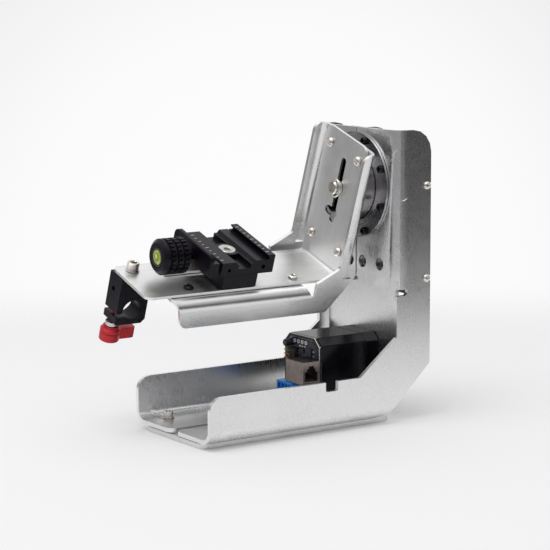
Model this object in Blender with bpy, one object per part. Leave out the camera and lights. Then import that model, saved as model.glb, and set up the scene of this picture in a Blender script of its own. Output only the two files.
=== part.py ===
# Motorised camera tilt head: a bent sheet column on a tray, a belt drive inside the column,
# and a cradle that turns about a bearing on the column's face.
# Lengths in this file are millimetres, turned into metres where a point is made.
# X runs from the tray's free end to the column, Y across, Z up. The origin is the middle
# of the base plate's underside.

import math

import bmesh
import bpy

MM = 0.001
GAP = 0.3

# Frame
SHEET = 3.0
HALF_WIDTH = 47.75
FRAME_BEND = 9.5
TRAY_END = -80.0
TRAY_FLOOR = 3.8
TRAY_TOP = 36.3
FACE_X = 76.5
FACE_BOTTOM = 94.8
REAR_X = 106.3
COLUMN_TOP = 207.0
SEAM = 0.6
FLOOR_SEAM = 2.5
BASE_HALF_LENGTH = 80.0
BASE_HALF_WIDTH = 38.0
BASE_THICK = 3.4
BASE_CORNER = 8.0
COVER_SCREW_X = 102.5
COVER_SCREW_Z = (101.6, 167.5)
FACE_HOLES_Y = (7.4, 27.4)
FACE_HOLES_Z = 111.3
FLOOR_BOLTS = ((-62.5, 33.9), (-62.5, -33.9), (52.0, 33.9), (52.0, -33.9))

# Tilt axis
AXIS_Z = 165.94
REST_TILT = 19.42

# Bearing and drive
RING_RADIUS = 38.0
RING_FRONT = 74.6
SPIGOT_RADIUS = 31.0
RING_BORE = 25.7
HUB_RADIUS = 25.0
HUB_FRONT = 64.4
RING_SCREW_CIRCLE = 34.75
PLATE_X = 81.5
PLATE_THICK = 3.0
MOTOR_Z = 40.0
MOTOR_HALF = 21.15
MOTOR_REAR = 28.5
MOTOR_CHAMFER = 5.8
DRIVEN_RADIUS = 38.2
DRIVER_RADIUS = 7.65

# Cradle, measured from the tilt axis
CRADLE_SHEET = 2.5
CRADLE_HALF = 32.1
CRADLE_BEND = 7.7
CRADLE_REAR = 64.1
WALL_FRONT = 52.6
WALL_TOP = 36.5
WALL_BOTTOM = -83.7
FLANGE_EDGE = 6.5
PLATE_SHEET = 2.0
PLATE_FRONT = 59.3
PLATE_HALF = 24.4
PLATE_TOP = 38.5
PLATFORM_TOP = -61.3
PLATFORM_END = -100.5
SLOT_Y = -1.6
SCREW_Z = -0.4

# Quick-release clamp
CLAMP_HALF = 24.4
SPINDLE_Z = -44.0
KNOB_RADIUS = 12.6

# Rod clamp
ROD_X = -88.9
ROD_Z = -88.2
ROD_RADIUS = 7.5
ROD_BLOCK_Y = (8.0, 24.5)
THUMB_X = -98.5
THUMB_Y = 16.3

for old in list(bpy.data.objects):
    bpy.data.objects.remove(old, do_unlink=True)


def material(name, colour, roughness, metallic):
    mat = bpy.data.materials.new(name)
    mat.use_nodes = True
    shader = mat.node_tree.nodes["Principled BSDF"]
    shader.inputs["Base Color"].default_value = (*colour, 1.0)
    shader.inputs["Roughness"].default_value = roughness
    shader.inputs["Metallic"].default_value = metallic
    mat.diffuse_color = (*colour, 1.0)
    return mat


ALUMINIUM = material("brushed_aluminium", (0.72, 0.73, 0.71), 0.38, 1.0)
RING_METAL = material("turned_aluminium", (0.60, 0.60, 0.59), 0.30, 1.0)
BLACK_METAL = material("black_anodised", (0.020, 0.018, 0.022), 0.42, 0.6)
BLACK_STEEL = material("black_oxide_steel", (0.015, 0.015, 0.016), 0.45, 0.7)
STEEL = material("bright_steel", (0.78, 0.76, 0.72), 0.22, 1.0)
RED_METAL = material("red_anodised", (0.62, 0.03, 0.04), 0.35, 0.7)
BOARD = material("dark_circuit_board", (0.012, 0.014, 0.030), 0.50, 0.0)
JACK_METAL = material("plated_jack_shell", (0.62, 0.59, 0.55), 0.30, 1.0)
GOLD = material("gold_pins", (0.80, 0.55, 0.22), 0.30, 1.0)
BLUE_PLASTIC = material("blue_plastic", (0.02, 0.16, 0.62), 0.45, 0.0)
BLACK_PLASTIC = material("black_plastic", (0.015, 0.015, 0.017), 0.50, 0.0)
RUBBER = material("belt_rubber", (0.020, 0.020, 0.020), 0.80, 0.0)
LEVEL_GREEN = material("level_green", (0.55, 0.72, 0.08), 0.15, 0.0)

tilt_axis = bpy.data.objects.new("tilt_axis", None)
tilt_axis.location = (0.0, 0.0, AXIS_Z * MM)
tilt_axis.rotation_euler = (math.radians(REST_TILT), 0.0, 0.0)
bpy.context.scene.collection.objects.link(tilt_axis)


def finish_object(name, bm, mat, parent=None, origin=(0.0, 0.0, 0.0)):
    bmesh.ops.recalc_face_normals(bm, faces=bm.faces)
    centre = [MM * value for value in origin]
    bmesh.ops.translate(bm, verts=bm.verts, vec=[-value for value in centre])
    mesh = bpy.data.meshes.new(name)
    bm.to_mesh(mesh)
    bm.free()
    mesh.materials.append(mat)
    mesh.shade_smooth()
    mesh.set_sharp_from_angle(angle=math.radians(32))
    obj = bpy.data.objects.new(name, mesh)
    bpy.context.scene.collection.objects.link(obj)
    obj.parent = parent
    obj.location = centre
    return obj


def rounded(points, steps=4):
    """Corner list (a, b, radius) to a plain outline with arcs at the rounded corners."""
    outline = []
    count = len(points)
    for i, (x, y, radius) in enumerate(points):
        if radius <= 0:
            outline.append((x, y))
            continue
        px, py, _ = points[i - 1]
        nx, ny, _ = points[(i + 1) % count]
        back = math.atan2(py - y, px - x)
        ahead = math.atan2(ny - y, nx - x)
        turn = (ahead - back + math.pi) % (2 * math.pi) - math.pi
        half = abs(turn) / 2
        reach = radius / math.tan(half)
        middle = back + turn / 2
        cx = x + math.cos(middle) * radius / math.sin(half)
        cy = y + math.sin(middle) * radius / math.sin(half)
        first = math.atan2(y + math.sin(back) * reach - cy, x + math.cos(back) * reach - cx)
        last = math.atan2(y + math.sin(ahead) * reach - cy, x + math.cos(ahead) * reach - cx)
        sweep = (last - first + math.pi) % (2 * math.pi) - math.pi
        for k in range(steps + 1):
            angle = first + sweep * k / steps
            outline.append((cx + radius * math.cos(angle), cy + radius * math.sin(angle)))
    return outline


def arc(cx, cy, radius, start, end, steps):
    """Points on an arc, angles in degrees."""
    angles = [math.radians(start + (end - start) * k / steps) for k in range(steps + 1)]
    return [(cx + radius * math.cos(a), cy + radius * math.sin(a)) for a in angles]


def on_axis(axis, a, b, h):
    """Plane coordinates and a height along an axis to a point in metres."""
    x, y, z = {"X": (h, a, b), "Y": (a, h, b), "Z": (a, b, h)}[axis]
    return (x * MM, y * MM, z * MM)


def add_prism(bm, outline, axis, low, high):
    ring = [bm.verts.new(on_axis(axis, a, b, low)) for a, b in outline]
    face = bm.faces.new(ring)
    top = bmesh.ops.extrude_face_region(bm, geom=[face])["geom"]
    moved = [v for v in top if isinstance(v, bmesh.types.BMVert)]
    shift = on_axis(axis, 0.0, 0.0, high - low)
    bmesh.ops.translate(bm, verts=moved, vec=shift)


def prism(name, outline, axis, low, high, mat, parent=None, origin=(0.0, 0.0, 0.0)):
    bm = bmesh.new()
    add_prism(bm, outline, axis, low, high)
    return finish_object(name, bm, mat, parent, origin)


def box_outline(a0, a1, b0, b1, radius=0.0, steps=4):
    corners = [(a0, b0, radius), (a1, b0, radius), (a1, b1, radius), (a0, b1, radius)]
    return rounded(corners, steps)


def add_turned(bm, profile, axis, a, b, segments):
    """A profile of (height, radius) points, from one end of the axis to the other."""
    rings = []
    for height, radius in profile:
        if radius == 0:
            rings.append([bm.verts.new(on_axis(axis, a, b, height))])
            continue
        circle = arc(a, b, radius, 0, 360 - 360 / segments, segments - 1)
        rings.append([bm.verts.new(on_axis(axis, p, q, height)) for p, q in circle])
    pairs = list(zip(rings, rings[1:]))
    if profile[0][1] > 0:
        pairs.append((rings[-1], rings[0]))
    for one, two in pairs:
        for k in range(segments):
            n = (k + 1) % segments
            corners = [one[k % len(one)], one[n % len(one)], two[n % len(two)], two[k % len(two)]]
            unique = list(dict.fromkeys(corners))
            bm.faces.new(unique)


def turned(name, profile, axis, a, b, segments, mat, parent=None):
    bm = bmesh.new()
    add_turned(bm, profile, axis, a, b, segments)
    origin = [value / MM for value in on_axis(axis, a, b, 0.0)]
    return finish_object(name, bm, mat, parent, origin)


def boolean(target, tool, operation):
    tool.hide_render = True
    tool.display_type = "WIRE"
    mod = target.modifiers.new(operation.lower(), "BOOLEAN")
    mod.operation = operation
    mod.solver = "EXACT"
    mod.object = tool


def drill(target, holes):
    """One cutter with a cylinder for each (axis, a, b, radius, low, high, segments)."""
    bm = bmesh.new()
    for axis, a, b, radius, low, high, segments in holes:
        add_prism(bm, arc(a, b, radius, 0, 360 - 360 / segments, segments - 1), axis, low, high)
    boolean(target, finish_object(target.name + "_holes", bm, BLACK_STEEL, target.parent), "DIFFERENCE")


def cut_prisms(target, tag, shapes):
    """One cutter with a prism for each (outline, axis, low, high)."""
    bm = bmesh.new()
    for outline, axis, low, high in shapes:
        add_prism(bm, outline, axis, low, high)
    boolean(target, finish_object(target.name + tag, bm, BLACK_STEEL, target.parent), "DIFFERENCE")


def slot_outline(a0, b0, a1, b1, radius, steps=4):
    """A slot with round ends between two points."""
    lean = math.degrees(math.atan2(b1 - b0, a1 - a0))
    ends = arc(a1, b1, radius, lean - 90, lean + 90, steps)
    return ends + arc(a0, b0, radius, lean + 90, lean + 270, steps)


def unfolded(line, sign, radius, depth):
    """Where a flange point that stands this deep lies on the flat blank."""
    return line + sign * (depth - radius + radius * math.pi / 2)


def folded(u, v, w, folds):
    """Where a point of the flat blank, at depth w in its thickness, goes when the blank is folded."""
    for along, sign, line, radius, zone in folds:
        past = sign * ((u if along == 0 else v) - line)
        if past > 0.001 and zone(u, v):
            angle = min(past / radius, math.pi / 2)
            reach = line + sign * (radius - w) * math.sin(angle)
            w = radius - (radius - w) * math.cos(angle) + max(0.0, past - radius * math.pi / 2)
            return (reach, v, w) if along == 0 else (u, reach, w)
    return (u, v, w)


def bent_sheet(name, outline, holes, folds, thickness, place, mat, parent=None, borders=()):
    """A flat blank cut to its outline and holes, given its thickness and then folded.

    Each fold is (along, sign, line, radius, zone): the blank past the line, where zone(u, v)
    holds, wraps round the radius and then stands square to the rest. The blank is first split
    along the zones' borders, (along, where) each, so that no face lies on both sides of one.
    """
    bm = bmesh.new()
    edges = []
    for loop in [outline] + holes:
        ring = [bm.verts.new((u, v, 0.0)) for u, v in loop]
        edges += [bm.edges.new((ring[k - 1], ring[k])) for k in range(len(ring))]
    bmesh.ops.triangle_fill(bm, use_beauty=True, use_dissolve=False, edges=edges, normal=(0.0, 0.0, 1.0))

    def split(along, where, faces):
        point = (where, 0.0, 0.0) if along == 0 else (0.0, where, 0.0)
        normal = (1.0, 0.0, 0.0) if along == 0 else (0.0, 1.0, 0.0)
        near = {edge for face in faces for edge in face.edges}
        near |= {vert for face in faces for vert in face.verts}
        bmesh.ops.bisect_plane(bm, geom=faces + list(near), dist=0.0005, plane_co=point, plane_no=normal)

    for along, where in borders:
        split(along, where, bm.faces[:])
    steps = 5
    for along, sign, line, radius, zone in folds:
        for k in range(steps + 1):
            touched = [face for face in bm.faces if zone(*face.calc_center_median().xy)]
            split(along, line + sign * radius * math.pi / 2 * k / steps, touched)
    layer = bmesh.ops.extrude_face_region(bm, geom=bm.faces[:])["geom"]
    for vert in layer:
        if isinstance(vert, bmesh.types.BMVert):
            vert.co.z = thickness
    for vert in bm.verts:
        vert.co = [MM * value for value in place(*folded(*vert.co, folds))]
    bmesh.ops.dissolve_limit(bm, angle_limit=math.radians(0.1), verts=bm.verts, edges=bm.edges)
    finish_object(name, bm, mat, parent)


def ring_screw_centres():
    angles = [math.radians(22.5 + 45 * k) for k in range(8)]
    return [(RING_SCREW_CIRCLE * math.cos(a), AXIS_Z + RING_SCREW_CIRCLE * math.sin(a)) for a in angles]


def circle(a, b, radius, segments):
    return arc(a, b, radius, 0, 360 - 360 / segments, segments - 1)


# Frame sheets: wall, floor flange and face flange folded from one blank
def make_frame_sheet(name, side, with_notch):
    floor_line = TRAY_FLOOR + FRAME_BEND
    face_line = FACE_X + FRAME_BEND
    floor_end = unfolded(floor_line, -1, FRAME_BEND, HALF_WIDTH - FLOOR_SEAM)
    face_end = unfolded(face_line, -1, FRAME_BEND, HALF_WIDTH - SEAM)
    middle = unfolded(face_line, -1, FRAME_BEND, HALF_WIDTH)
    spigot = SPIGOT_RADIUS + 0.4
    half = math.degrees(math.acos(SEAM / spigot))
    corners = [(TRAY_END, floor_end, 6), (62.0, floor_end, 3), (66.5, -1.6, 0), (72.4, 8.6, 0),
               (REAR_X, 40.6, 0)]
    for z in COVER_SCREW_Z:
        slot = [(REAR_X, z - 1.8)] + arc(COVER_SCREW_X, z, 1.8, 270, 90, 4) + [(REAR_X, z + 1.8)]
        corners += [(x, y, 0) for x, y in slot]
    corners += [(REAR_X, COLUMN_TOP, 16), (face_end, COLUMN_TOP, 0)]
    corners += [(x, y, 0) for x, y in arc(middle, AXIS_Z, spigot, half, -half, 14)]
    corners += [(face_end, FACE_BOTTOM, 8), (face_line, FACE_BOTTOM, 0), (face_line, 92.6, 0),
                (84.2, 90.7, 0), (FACE_X, 90.7, 0), (FACE_X, 61.2, 0), (45.0, TRAY_TOP, 0)]
    if with_notch:
        corners += [(25.5, TRAY_TOP, 0), (25.5, 29.6, 1.5), (15.0, 29.6, 1.5), (15.0, TRAY_TOP, 0)]
    corners += [(TRAY_END, TRAY_TOP, 9)]

    def on_face(y):
        return unfolded(face_line, -1, FRAME_BEND, HALF_WIDTH - y)

    def on_floor(y):
        return unfolded(floor_line, -1, FRAME_BEND, HALF_WIDTH - y)

    holes = [circle(on_face(y), z, 1.8, 8) for y, z in ring_screw_centres() if y > 0]
    holes += [circle(on_face(y), FACE_HOLES_Z, 4.5, 12) for y in FACE_HOLES_Y]
    holes += [circle(x, on_floor(y), 2.3, 8) for x, y in FLOOR_BOLTS if y > 0]
    folds = [
        (1, -1, floor_line, FRAME_BEND, lambda u, v: u < 80.0 and v < 20.0),
        (0, -1, face_line, FRAME_BEND, lambda u, v: v > 92.65),
    ]
    bent_sheet(name, rounded(corners), holes, folds, SHEET,
               lambda u, v, w: (u, side * (HALF_WIDTH - w), v), ALUMINIUM, None, [(1, 20.0), (1, 92.65), (0, 80.0)])


make_frame_sheet("near_side_sheet", -1, True)
make_frame_sheet("far_side_sheet", 1, False)

# Base plate under the tray
base = prism(
    "base_plate",
    box_outline(-BASE_HALF_LENGTH, BASE_HALF_LENGTH, -BASE_HALF_WIDTH, BASE_HALF_WIDTH, BASE_CORNER),
    "Z", 0.0, BASE_THICK, ALUMINIUM)
drill(base, [("Z", x, y, 2.3, -1.0, 5.0, 8) for x, y in FLOOR_BOLTS])

FLOOR_TOP = TRAY_FLOOR + SHEET + GAP
for index, (x, y) in enumerate(FLOOR_BOLTS, 1):
    bolt = [(0.6, 0), (0.6, 2.0), (FLOOR_TOP, 2.0), (FLOOR_TOP, 4.25), (FLOOR_TOP + 1, 4.25),
            (FLOOR_TOP + 1, 3.5), (FLOOR_TOP + 5, 3.3), (FLOOR_TOP + 5, 1.7), (FLOOR_TOP + 3, 1.6),
            (FLOOR_TOP + 3, 0)]
    turned(f"floor_bolt_{index}", bolt, "Z", x, y, 10, STEEL)

# Drive plate: carries the motor and the hub's rear end
plate_side = HALF_WIDTH - SHEET - 5.0
drive_plate = prism(
    "drive_plate",
    rounded([(-plate_side, 20.6, 4), (plate_side, 20.6, 4), (plate_side, 204.0, 4), (-plate_side, 204.0, 4)], 3),
    "X", PLATE_X, PLATE_X + PLATE_THICK, ALUMINIUM)
drill(drive_plate, [
    ("X", 0.0, AXIS_Z, 9.6, 80.0, 86.0, 20),
    ("X", 0.0, MOTOR_Z, 11.4, 80.0, 86.0, 20),
] + [("X", side * y, FACE_HOLES_Z, 5.5, 80.0, 86.0, 12) for y in FACE_HOLES_Y for side in (-1, 1)])


# Rear cover: back panel with two folded edges that the side screws hold
def make_rear_cover():
    half = HALF_WIDTH - SHEET - 0.4
    bend = 1.65
    back = REAR_X - 0.3
    line = half - bend
    reach = unfolded(line, 1, bend, 9.5)
    hole = unfolded(line, 1, bend, back - COVER_SCREW_X)
    low = 88.0
    outline = rounded([(-reach, low, 3), (reach, low, 3), (reach, 204.0, 3), (-reach, 204.0, 3)], 2)
    holes = [circle(side * hole, z, 1.8, 8) for side in (-1, 1) for z in COVER_SCREW_Z]
    folds = [(0, 1, line, bend, lambda u, v: u > 0), (0, -1, -line, bend, lambda u, v: u < 0)]
    bent_sheet("rear_cover", outline, holes, folds, 1.5, lambda u, v, w: (back - w, u, v), ALUMINIUM)


make_rear_cover()
head = HALF_WIDTH + GAP
count = 1
for side in (-1, 1):
    for z in COVER_SCREW_Z:
        screw = [(side * 41.0, 0), (side * 41.0, 1.5), (side * head, 1.5), (side * head, 2.85),
                 (side * (head + 1.0), 2.6), (side * (head + 1.8), 1.6), (side * (head + 1.8), 0)]
        turned(f"cover_screw_{count}", screw, "Y", COVER_SCREW_X, z, 10, STEEL)
        count += 1


# Motor along X below the column face
def motor_outline(half, cut):
    z0 = MOTOR_Z - half
    z1 = MOTOR_Z + half
    corners = [(-half + cut, z0), (half - cut, z0), (half, z0 + cut), (half, z1 - cut),
               (half - cut, z1), (-half + cut, z1), (-half, z1 - cut), (-half, z0 + cut)]
    return corners


BOARD_HALF = 18.3
rear_cap = prism("motor_rear_cap", motor_outline(MOTOR_HALF, MOTOR_CHAMFER), "X",
                 MOTOR_REAR, MOTOR_REAR + 1.8, BLACK_METAL)
cut_prisms(rear_cap, "_window", [(motor_outline(BOARD_HALF + GAP, MOTOR_CHAMFER), "X",
                                  MOTOR_REAR - 1, MOTOR_REAR + 3)])
prism("driver_board", motor_outline(BOARD_HALF, MOTOR_CHAMFER), "X",
      MOTOR_REAR, MOTOR_REAR + 1.6, BOARD)
prism("motor_stator", motor_outline(MOTOR_HALF, MOTOR_CHAMFER - 0.6), "X", 30.6, 69.1, BLACK_METAL)
cap_end = PLATE_X - GAP
front_cap = prism("motor_front_cap", motor_outline(MOTOR_HALF, MOTOR_CHAMFER), "X", 69.4, cap_end, BLACK_METAL)
bm_boss = bmesh.new()
add_prism(bm_boss, arc(0.0, MOTOR_Z, 11.0, 0, 342, 19), "X", cap_end - 2, cap_end + 2)
boolean(front_cap, finish_object("motor_boss", bm_boss, BLACK_METAL), "UNION")
drill(front_cap, [("X", 0.0, MOTOR_Z, 2.9, cap_end - 6, cap_end + 4, 12)])
turned("motor_shaft", [(cap_end - 5.5, 0), (cap_end - 5.5, 2.5), (97.5, 2.5), (97.5, 0)],
       "X", 0.0, MOTOR_Z, 12, STEEL)

# Connectors on the driver board
board_front = MOTOR_REAR - GAP
jack = prism("network_jack", box_outline(13.4, board_front, 30.3, 46.2), "Y", -22.6, -1.6, JACK_METAL)
port = [(15.3, 32.2), (26.3, 32.2), (26.3, 39.2), (24.4, 39.2), (24.4, 41.4), (22.9, 41.4),
        (22.9, 43.2), (18.7, 43.2), (18.7, 41.4), (17.2, 41.4), (17.2, 39.2), (15.3, 39.2)]
cut_prisms(jack, "_port", [(port, "Y", -24.0, -7.5)])

header = prism("pin_header", box_outline(4.8, 14.6, 42.6, 51.6), "X", 25.4, board_front, GOLD)
pins = bmesh.new()
for row in range(3):
    for column in range(3):
        y = 6.6 + 3.1 * column
        z = 44.2 + 2.9 * row
        add_prism(pins, box_outline(y - 0.45, y + 0.45, z - 0.45, z + 0.45), "X", 21.6, 26.2)
boolean(header, finish_object("pin_rows", pins, GOLD), "UNION")

terminal = prism("terminal_block", box_outline(12.2, board_front, 22.6, 30.0), "Y", -10.7, 8.0, BLUE_PLASTIC)
cut_prisms(terminal, "_entries", [
    (box_outline(y - 1.6, y + 1.6, 24.2, 28.2), "X", 11.0, 17.0) for y in (-7.7, -3.6, 0.6, 4.9)
])
turned("board_capacitor", [(21.8, 0), (21.8, 2.2), (22.6, 2.7), (board_front, 2.7), (board_front, 0)],
       "X", 12.0, 54.8, 12, BLACK_PLASTIC)


# Belt drive inside the column
turned("drive_pulley", [(85.6, 2.8), (85.6, 9.4), (87.4, 9.4), (87.4, DRIVER_RADIUS), (94.6, DRIVER_RADIUS),
                        (94.6, 9.4), (95.8, 9.4), (95.8, 2.8)], "X", 0.0, MOTOR_Z, 20, RING_METAL)
turned("driven_pulley", [(86.6, 9.3), (86.6, DRIVEN_RADIUS), (95.4, DRIVEN_RADIUS), (95.4, 9.3)],
       "X", 0.0, AXIS_Z, 40, RING_METAL)


def belt_loop(gap):
    """The belt's path round both pulleys, offset from their rims."""
    top = DRIVEN_RADIUS + gap
    low = DRIVER_RADIUS + gap
    lean = math.degrees(math.asin((top - low) / (AXIS_Z - MOTOR_Z)))
    upper = arc(0.0, AXIS_Z, top, -lean, 180 + lean, 22)
    lower = arc(0.0, MOTOR_Z, low, 180 + lean, 360 - lean, 10)
    return upper + lower


belt = prism("timing_belt", belt_loop(2.0), "X", 88.0, 94.0, RUBBER)
cut_prisms(belt, "_inside", [(belt_loop(0.5), "X", 87.0, 95.0)])

# Bearing ring on the column face, its screws, and the hub that carries the cradle
ring = turned("bearing_ring", [(RING_FRONT, RING_BORE), (RING_FRONT, RING_RADIUS),
                               (FACE_X - GAP, RING_RADIUS), (FACE_X - GAP, SPIGOT_RADIUS),
                               (PLATE_X - GAP, SPIGOT_RADIUS), (PLATE_X - GAP, RING_BORE)],
              "X", 0.0, AXIS_Z, 40, RING_METAL)
drill(ring, [("X", y, z, 1.8, 73.0, 78.0, 8) for y, z in ring_screw_centres()])
for index, (y, z) in enumerate(ring_screw_centres(), 1):
    screw = [(71.5, 0), (71.5, 2.75), (RING_FRONT - GAP, 2.75), (RING_FRONT - GAP, 1.5), (81.0, 1.5), (81.0, 0)]
    turned(f"ring_screw_{index}", screw, "X", y, z, 10, BLACK_STEEL)

hub = turned("tilt_hub", [(HUB_FRONT, 0), (HUB_FRONT, HUB_RADIUS), (81.0, HUB_RADIUS), (81.0, 9.0),
                          (101.0, 9.0), (101.0, 0)], "X", 0.0, 0.0, 32, RING_METAL, tilt_axis)
cut_prisms(hub, "_recess", [(box_outline(-6.2, 6.2, -30.0, 30.0), "X", HUB_FRONT - 1, 73.0)])


# Cradle side sheets: wall, rear flange behind the upright, top flange under the platform
PLATE_SCREWS = ((17.0, 26.4), (-17.0, 26.4), (17.0, -44.3), (-17.0, -44.3))
PLATFORM_SCREWS = ((-63.1, 16.4), (-63.1, -16.4), (23.3, 17.4), (23.3, -17.4))


def make_cradle_sheet(name, side, flange_end):
    rear_line = CRADLE_REAR - CRADLE_BEND
    top_line = PLATFORM_TOP - PLATE_SHEET - GAP - CRADLE_BEND
    rear_end = unfolded(rear_line, 1, CRADLE_BEND, CRADLE_HALF - FLANGE_EDGE)
    top_end = unfolded(top_line, 1, CRADLE_BEND, CRADLE_HALF - FLANGE_EDGE)
    top_flat = unfolded(top_line, 1, CRADLE_BEND, CRADLE_BEND)
    outline = rounded([
        (-74.5, WALL_BOTTOM, 6),
        (47.0, WALL_BOTTOM, 2),
        (CRADLE_REAR, -62.2, 1),
        (CRADLE_REAR, -58.6, 0),
        (rear_line, -58.6, 0),
        (rear_line, -56.6, 0),
        (rear_end, -56.6, 5),
        (rear_end, WALL_TOP, 5),
        (WALL_FRONT, WALL_TOP, 6),
        (WALL_FRONT, -50.4, 4),
        (35.0, -60.4, 0),
        (35.0, top_line, 0),
        (33.0, top_line, 0),
        (27.0, top_flat, 0),
        (27.0, top_end, 3),
        (flange_end, top_end, 5),
        (flange_end, top_flat, 0),
        (-77.0, top_line, 0),
    ])
    holes = []
    for y, z in PLATE_SCREWS:
        if y > 0:
            holes.append(circle(unfolded(rear_line, 1, CRADLE_BEND, CRADLE_HALF - y), z, 2.3, 8))
    for x, y in PLATFORM_SCREWS:
        if y > 0:
            holes.append(circle(x, unfolded(top_line, 1, CRADLE_BEND, CRADLE_HALF - y), 2.3, 8))
    folds = [
        (0, 1, rear_line, CRADLE_BEND, lambda u, v: v > -57.5 and u > 45.0),
        (1, 1, top_line, CRADLE_BEND, lambda u, v: u < 34.0),
    ]
    bent_sheet(name, outline, holes, folds, CRADLE_SHEET,
               lambda u, v, w: (u, side * (CRADLE_HALF - w), v), ALUMINIUM, tilt_axis,
               [(1, -57.5), (0, 45.0), (0, 34.0)])


make_cradle_sheet("near_cradle_sheet", -1, -81.0)
make_cradle_sheet("far_cradle_sheet", 1, -76.9)


def keyhole_outline():
    """The upright's slot with a crosswise opening near its lower end, as (Y, Z) points."""
    width = 2.8
    lobe = 3.3
    lobe_z = -20.3
    left = -3.0
    right = 4.6
    edge = SLOT_Y - width
    swing = math.degrees(math.acos((edge - left) / lobe))
    points = arc(SLOT_Y, 19.2, width, 0, 180, 6)
    points += arc(left, lobe_z, lobe, swing, 360 - swing, 5)
    points += arc(SLOT_Y, -24.9, width, 180, 360, 6)
    points.append((SLOT_Y + width, lobe_z - lobe))
    points += arc(right, lobe_z, lobe, -90, 90, 6)
    points.append((SLOT_Y + width, lobe_z + lobe))
    return points


# Cradle plate: platform and upright folded from one sheet
def make_cradle_plate():
    bend = 3.0
    line = PLATE_FRONT - bend
    end = unfolded(line, 1, bend, PLATE_TOP - PLATFORM_TOP)
    outline = rounded([
        (PLATFORM_END, -PLATE_HALF, 5),
        (end, -PLATE_HALF, 6),
        (end, PLATE_HALF, 6),
        (PLATFORM_END, PLATE_HALF, 5),
    ])
    holes = [circle(unfolded(line, 1, bend, z - PLATFORM_TOP), y, 2.3, 8) for y, z in PLATE_SCREWS]
    holes += [circle(x, y, 2.3, 8) for x, y in PLATFORM_SCREWS]
    holes.append(circle(ROD_X, THUMB_Y, 2.8, 10))
    holes.append([(unfolded(line, 1, bend, z - PLATFORM_TOP), y) for y, z in keyhole_outline()])
    holes.append(slot_outline(-67.6, 3.8, -16.0, 3.8, 3.4))
    bent_sheet("cradle_plate", outline, holes, [(0, 1, line, bend, lambda u, v: True)], -PLATE_SHEET,
               lambda u, v, w: (u, v, PLATFORM_TOP + w), ALUMINIUM, tilt_axis)


make_cradle_plate()
for index, (y, z) in enumerate(PLATE_SCREWS, 1):
    front = PLATE_FRONT - GAP
    screw = [(front - 2.4, 0), (front - 2.4, 2.0), (front - 1.4, 3.2), (front, 3.6), (front, 2.0), (65.8, 2.0),
             (65.8, 0)]
    turned(f"plate_screw_{index}", screw, "X", y, z, 10, STEEL, tilt_axis)
for index, (x, y) in enumerate(PLATFORM_SCREWS, 1):
    top = PLATFORM_TOP + GAP
    screw = [(-68.0, 0), (-68.0, 2.0), (top, 2.0), (top, 3.7), (top + 1.2, 3.3), (top + 2.0, 2.2), (top + 2.0, 0)]
    turned(f"platform_screw_{index}", screw, "Z", x, y, 10, STEEL, tilt_axis)

# Camera screw in the upright's slot: washer, screw and folding D-ring
turned("camera_screw_washer", [(57.8, 2.8), (57.8, 5.6), (59.0, 5.6), (59.0, 2.8)],
       "X", SLOT_Y, SCREW_Z, 20, STEEL, tilt_axis)
turned("camera_screw", [(53.6, 0), (53.6, 4.4), (54.2, 5.0), (57.5, 5.0), (57.5, 2.5), (70.5, 2.5), (70.5, 0)],
       "X", SLOT_Y, SCREW_Z, 20, STEEL, tilt_axis)


def make_d_ring():
    """A bent wire whose ends point at the head's sides. It hangs to the right, along the upright."""
    reach = 6.6
    wire = 0.75
    path = [(0.0, 5.3 + wire * 0.2), (0.0, reach)]
    path += [(reach * math.sin(a), reach * math.cos(a)) for a in
             [math.pi * k / 12 for k in range(1, 12)]]
    path += [(0.0, -reach), (0.0, -5.3 - wire * 0.2)]
    curve = bpy.data.curves.new("camera_screw_d_ring", "CURVE")
    curve.dimensions = "3D"
    spline = curve.splines.new("POLY")
    spline.points.add(len(path) - 1)
    for point, (out, along) in zip(spline.points, path):
        point.co = (0.0, -out * MM, along * MM, 1.0)
    curve.bevel_depth = wire * MM
    curve.bevel_resolution = 1
    curve.use_fill_caps = True
    curve.materials.append(STEEL)
    obj = bpy.data.objects.new("camera_screw_d_ring", curve)
    bpy.context.scene.collection.objects.link(obj)
    obj.parent = tilt_axis
    obj.location = (55.8 * MM, SLOT_Y * MM, SCREW_Z * MM)


make_d_ring()

# Quick-release clamp on the platform
seat = PLATFORM_TOP + GAP
prism("clamp_riser", box_outline(-41.0, -12.8, seat, -50.8), "Y", -CLAMP_HALF, CLAMP_HALF, BLACK_METAL, tilt_axis)
body_profile = [
    (-44.5, -50.5), (-1.5, -50.5), (-1.5, -37.6), (-2.3, -36.8), (-7.5, -36.8), (-7.5, -37.6), (-5.2, -40.2),
    (-16.9, -40.2), (-18.4, -42.4), (-31.4, -42.4), (-33.3, -40.2), (-44.5, -40.2),
]
clamp_body = prism("clamp_body", body_profile, "Y", -25.0, 25.0, BLACK_METAL, tilt_axis)
drill(clamp_body, [
    ("X", 0.0, SPINDLE_Z, 2.7, -46.0, -34.5, 12),
    ("Z", -25.6, -0.6, 6.6, -45.0, -38.0, 16),
])
drill(clamp_body, [("Z", -25.6, -0.6, 2.8, -52.0, -44.0, 10)])
drill(bpy.data.objects["clamp_riser"], [("Z", -25.6, -0.6, 2.8, -58.5, -49.0, 10)])
turned("clamp_center_screw", [(-58.0, 0), (-58.0, 2.5), (-44.7, 2.5), (-44.7, 6.2), (-42.0, 6.2), (-42.0, 0)],
       "Z", -25.6, -0.6, 16, STEEL, tilt_axis)
jaw_profile = [
    (-54.3, -49.9), (-53.7, -50.5), (-46.7, -50.5), (-46.7, -40.2), (-52.3, -40.2), (-50.4, -37.2),
    (-50.4, -35.4), (-51.2, -34.6), (-53.5, -34.6), (-54.3, -35.4),
]
jaw = prism("clamp_jaw", jaw_profile, "Y", -24.6, 24.6, BLACK_METAL, tilt_axis)
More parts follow.
